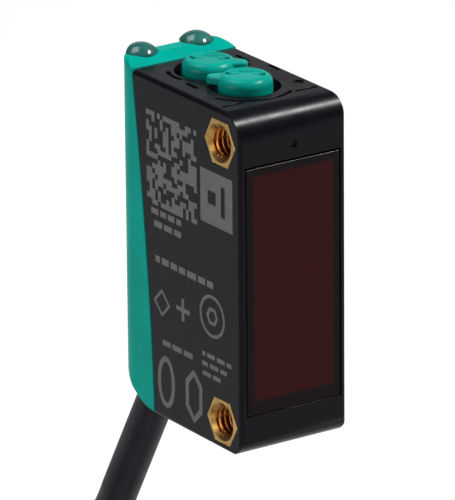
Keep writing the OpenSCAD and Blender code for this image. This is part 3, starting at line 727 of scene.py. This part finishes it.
printed("print_cell_block", cell_block(6.6, 14.4, 19.6, 28.1, 18, 7))
PLATE_LOW, PLATE_HIGH = 20.25, 25.1
printed("print_symbol_plate", [
    bar(1.15, 2.3, PLATE_LOW, PLATE_HIGH), bar(2.3, 2.9, PLATE_LOW, 21.3), bar(2.3, 2.9, 24.1, PLATE_HIGH),
    bar(2.9, 3.7, PLATE_LOW, PLATE_HIGH), bar(3.7, 4.9, PLATE_LOW, 22.1), bar(3.7, 4.9, 23.3, PLATE_HIGH),
    bar(4.9, 6.05, PLATE_LOW, PLATE_HIGH),
])
printed("print_lines_upper", dashes(9.1, 14.3, 19.0, 0.55, 3) + dashes(9.1, 13.4, 17.9, 0.55, 5))
printed("print_line_middle", dashes(4.2, 13.7, 14.7, 0.6, 11))
printed("print_ring", [ring_mark(4.4, 11.85, 1.95, 1.95, 0.3), ring_mark(4.4, 11.85, 0.9, 0.9, 0.35, 6)])
printed("print_diamond", [ring_mark(12.25, 10.8, 1.3, 1.3, 0.35, 4)])
printed("print_cross_mark", [
    bar(7.9, 10.0, 10.9, 11.3), bar(8.75, 9.15, 10.05, 10.9), bar(8.75, 9.15, 11.3, 12.15),
])
printed("print_lines_lower", dashes(1.5, 6.0, 8.1, 0.4, 13) + dashes(2.2, 6.0, 7.2, 0.4, 17)
        + dashes(3.2, 6.0, 6.3, 0.4, 19) + dashes(7.5, 12.2, 7.2, 0.5, 23))
printed("print_outlines", [
    ring_mark(11.7, 3.6, 1.35, 2.4, 0.5),
    (oval(7.35, 3.6, 1.5, 2.5, 6, math.pi / 6), oval(7.35, 3.6, 0.95, 1.9, 6, math.pi / 6)),
])

# ---------------------------------------------------------------- cable, plug and what is on them
NECK_BORE, NUT_LOW, KNURL_END, NUT_END, NUT_R = 3.11, 24.3, 32.0, 37.0, 5.0
PLUG_THREAD_R, PLUG_PITCH, PLUG_THREAD_DEPTH, PLUG_THREAD_FLAT = 4.0, 1.0, 0.5, 0.12
NUT_EDGE, EDGE_KNEE_ALONG, EDGE_KNEE_IN = 0.3, 0.1, 0.12
UNDERCUT, UNDERCUT_LONG, UNDERCUT_SHOULDER = 0.35, 1.0, 0.05
THREAD_RUN_IN, THREAD_END_CHAMFER, THREAD_STEPS = 0.3, 0.5, 48
KNURLS, KNURL_DEEP, KNURL_SHARP, KNURL_MARGIN = 24, 0.2, 2, 0.8
GRIP_R, GRIP_FROM, GRIP_END, NECK_R_PLUG, NECK_END = 4.4, 12.5, 24.0, 3.05, 28
GRIP_EDGE, GRIP_KNEE, GRIP_ROUND = 0.2, 0.15, 0.5
FLUTES, FLUTE_DEEP, FLUTE_SHARP, FLUTE_FROM, FLUTE_LONG = 12, 0.35, 6, 13.2, 9.1
RELIEF_RIBS, RIB_PITCH, RIB_LONG, RIB_R, RIB_GROW, RIB_FLARE = 4, 3.3, 2.5, 2.5, 0.4, 0.19
RIB_MOUTH, RIB_EDGE_ALONG, RIB_EDGE_R, RIB_GAP_IN = 0.2, 0.15, 0.08, 0.1
LAST_RIB_LESS, LAST_RIB_END = 0.1, 11
FLUTED_SHARES = (0, 0.04, 0.96, 1)
SIDES = 120


def at_plug(r, angle, along):
    return (PLUG_AT.x + r * math.cos(angle), PLUG_AT.y - along, PLUG_AT.z + r * math.sin(angle))


def plug_rings(*profile):
    """Rings round the plug's axis at each (along, radius) of a profile."""
    return [[at_plug(r, a, along) for a in circle(SIDES)] for along, r in profile]


def fluted_rings(r, start, long, count, deep, sharp):
    """Rings along a stretch of the plug with count grooves that run out at both ends."""
    rows = []
    for share in FLUTED_SHARES:
        cut = deep if 0 < share < 1 else 0.0
        rows.append([at_plug(r - cut * max(0.0, math.cos(a * count)) ** sharp, a, start + long * share)
                     for a in circle(SIDES)])
    return rows


def make_nut():
    rows = plug_rings((NUT_LOW, NECK_BORE), (NUT_LOW, NUT_R - NUT_EDGE),
                      (NUT_LOW + EDGE_KNEE_ALONG, NUT_R - EDGE_KNEE_IN), (NUT_LOW + NUT_EDGE, NUT_R))
    knurl_long = KNURL_END - NUT_LOW - 2 * KNURL_MARGIN
    rows += fluted_rings(NUT_R, NUT_LOW + KNURL_MARGIN, knurl_long, KNURLS, KNURL_DEEP, KNURL_SHARP)
    undercut_r, thread_from = PLUG_THREAD_R - UNDERCUT, KNURL_END + UNDERCUT_LONG
    rows += plug_rings((KNURL_END - NUT_EDGE, NUT_R), (KNURL_END - EDGE_KNEE_ALONG, NUT_R - EDGE_KNEE_IN),
                       (KNURL_END, NUT_R - NUT_EDGE), (KNURL_END, undercut_r),
                       (thread_from - UNDERCUT_SHOULDER, undercut_r))
    for i in range(THREAD_STEPS + 1):
        along = thread_from + (NUT_END - thread_from) * i / THREAD_STEPS
        mouth = PLUG_THREAD_R - max(0.0, along - (NUT_END - THREAD_END_CHAMFER))
        deep = PLUG_THREAD_DEPTH * smooth_step(along, thread_from, thread_from + THREAD_RUN_IN)
        row = []
        for a in circle(SIDES):
            root = deep * (1 - thread_wave(along, PLUG_PITCH, a, PLUG_THREAD_FLAT))
            row.append(at_plug(min(mouth, PLUG_THREAD_R - root), a, along))
        rows.append(row)
    rows += plug_rings((NUT_END, NECK_BORE))
    made = piece("coupling_nut_fine", *bored_rows(rows), NICKEL, "screw_ring", angle=28)
    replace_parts(made, "coupling_nut")
    return made


def relief_profile():
    """Stepped ribs of the strain relief, each a little thicker than the last."""
    profile = [(0.0, RIB_R - RIB_MOUTH), (RIB_EDGE_ALONG, RIB_R)]
    for rib in range(RELIEF_RIBS):
        last = rib == RELIEF_RIBS - 1
        start, r = rib * RIB_PITCH, RIB_R + RIB_GROW * rib - (LAST_RIB_LESS if last else 0)
        end = LAST_RIB_END if last else start + RIB_LONG
        if rib:
            profile.append((start + 0.1, r))
        profile += [(end - RIB_EDGE_ALONG, r + RIB_FLARE), (end, r + RIB_EDGE_R)]
        if not last:
            profile += [(end + 0.05, r - RIB_GAP_IN), (start + RIB_PITCH - 0.1, r - 0.02)]
    return profile


def make_plug_body():
    rows = plug_rings(*relief_profile(), (GRIP_FROM - GRIP_EDGE, GRIP_R - GRIP_KNEE), (GRIP_FROM, GRIP_R))
    rows += fluted_rings(GRIP_R, FLUTE_FROM, FLUTE_LONG, FLUTES, FLUTE_DEEP, FLUTE_SHARP)
    rows += plug_rings((GRIP_END - GRIP_ROUND, GRIP_R), (GRIP_END - GRIP_KNEE, GRIP_R - GRIP_KNEE),
                       (GRIP_END, GRIP_R - GRIP_ROUND), (GRIP_END, NECK_R_PLUG), (NECK_END, NECK_R_PLUG))
    made = piece("plug_body_fine", *closed_rows(rows), GRIP, angle=40)
    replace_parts(made, "plug_body")
    return made


TIE_BAND, TIE_W, TIE_GAP = 0.4, 2.5, 0.04
TIE_TURNS = (0.078, 1.078)
TIE_HEAD_HALF, TIE_HEAD_DEEP, TIE_HEAD_HIGH, TIE_HEAD_EDGE, TIE_HEAD_SUNK = 1.9, 1.3, 1.5, 0.25, 0.1
TIE_STEPS = 24


def make_tie():
    """Band round both turns of the coil with its head on the outside."""
    inner, outer = (COIL_R + COIL_STEP * turns for turns in TIE_TURNS)
    near = CABLE_R + TIE_GAP
    loops = []
    for grow in (0, TIE_BAND):
        loop = []
        for centre, start in ((outer, -math.pi / 2), (inner, math.pi / 2)):
            for k in range(TIE_STEPS + 1):
                turn = start + math.pi * k / TIE_STEPS
                loop.append((centre + (near + grow) * math.cos(turn), (near + grow) * math.sin(turn)))
        loops.append(loop)
    points = len(loops[0])
    verts, faces = [], []
    for side in (-TIE_W / 2, TIE_W / 2):
        for loop in loops:
            verts += [(r, side, z) for r, z in loop]
    for k in range(points):
        m = (k + 1) % points
        for a, b in ((0, points), (3 * points, 2 * points), (points, 3 * points), (2 * points, 0)):
            faces.append((a + k, a + m, b + m, b + k))
    from_r = outer + near - TIE_HEAD_SUNK

    def head_ring(r, less):
        y, z = TIE_HEAD_HALF - less, TIE_HEAD_HIGH - less
        return [(r, -y, -z), (r, y, -z), (r, y, z), (r, -y, z)]

    head = closed_rows([head_ring(from_r, 0), head_ring(from_r + TIE_HEAD_DEEP - TIE_HEAD_EDGE, 0),
                        head_ring(from_r + TIE_HEAD_DEEP, TIE_HEAD_EDGE)])
    place = (Matrix.Translation(Vector((COIL_CENTRE[0], COIL_CENTRE[1], COIL_Z)) * MM)
             @ Matrix.Rotation(TIE_ANGLE, 4, "Z"))
    made = piece("cable_tie_fine", *shells((verts, faces), head), TIE, place=place, angle=30)
    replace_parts(made, "cable_tie")
    return made


cord_pieces = [make_tie(), make_plug_body(), make_nut()]
cord_pieces += [nodes[n] for n in ("plug_contact_carrier", "plug_pins", "plug_seal")]


# ---------------------------------------------------------------- stage and light
FLOOR_HALF, FLOOR_THICK = 900.0, 20.0


def make_floor():
    verts, faces = box_shell(FLOOR_HALF, FLOOR_HALF, FLOOR_Z - FLOOR_THICK, FLOOR_Z)
    mesh = bpy.data.meshes.new("floor")
    mesh.from_pydata([tuple(c * MM for c in v) for v in verts], [], faces)
    mesh.materials.append(surface("pale_floor", (226, 226, 226), 0.7, 0.01, 80, 0.04, 3, 10))
    floor = bpy.data.objects.new("floor", mesh)
    bpy.context.scene.collection.objects.link(floor)


def softbox(name, at, aim, size, power, spread=180):
    data = bpy.data.lights.new(name, "AREA")
    data.shape, data.size, data.size_y = "RECTANGLE", size[0], size[1]
    data.energy, data.spread = power, math.radians(spread)
    lamp = bpy.data.objects.new(name, data)
    bpy.context.scene.collection.objects.link(lamp)
    lamp.location = at
    lamp.rotation_euler = (Vector(aim) - Vector(at)).to_track_quat("-Z", "Y").to_euler()


make_floor()
softbox("key_strip", (0.447, -0.235, 0.68), (0, 0, 0), (0.2, 0.07), 8.7)
softbox("back_softbox", (0.45, 0.67, 0.3), (0, 0, 0), (0.6, 0.3), 0.22)
softbox("top_softbox", (-0.15, 0.3, 0.7), (0.06, 0.12, -0.04), (0.5, 0.4), 0.74, 90)
softbox("left_softbox", (-0.6, 0.02, 0.12), (0, 0, 0), (0.4, 0.3), 0.26, 80)
WORLD_TINT, WORLD_STRENGTH = (0.95, 0.97, 1, 1), 0.12
world = bpy.data.worlds.new("studio")
world.use_nodes = True
background = world.node_tree.nodes["Background"]
background.inputs[0].default_value = WORLD_TINT
background.inputs[1].default_value = WORLD_STRENGTH
bpy.context.scene.world = world
bpy.context.scene.view_settings.view_transform = "Standard"
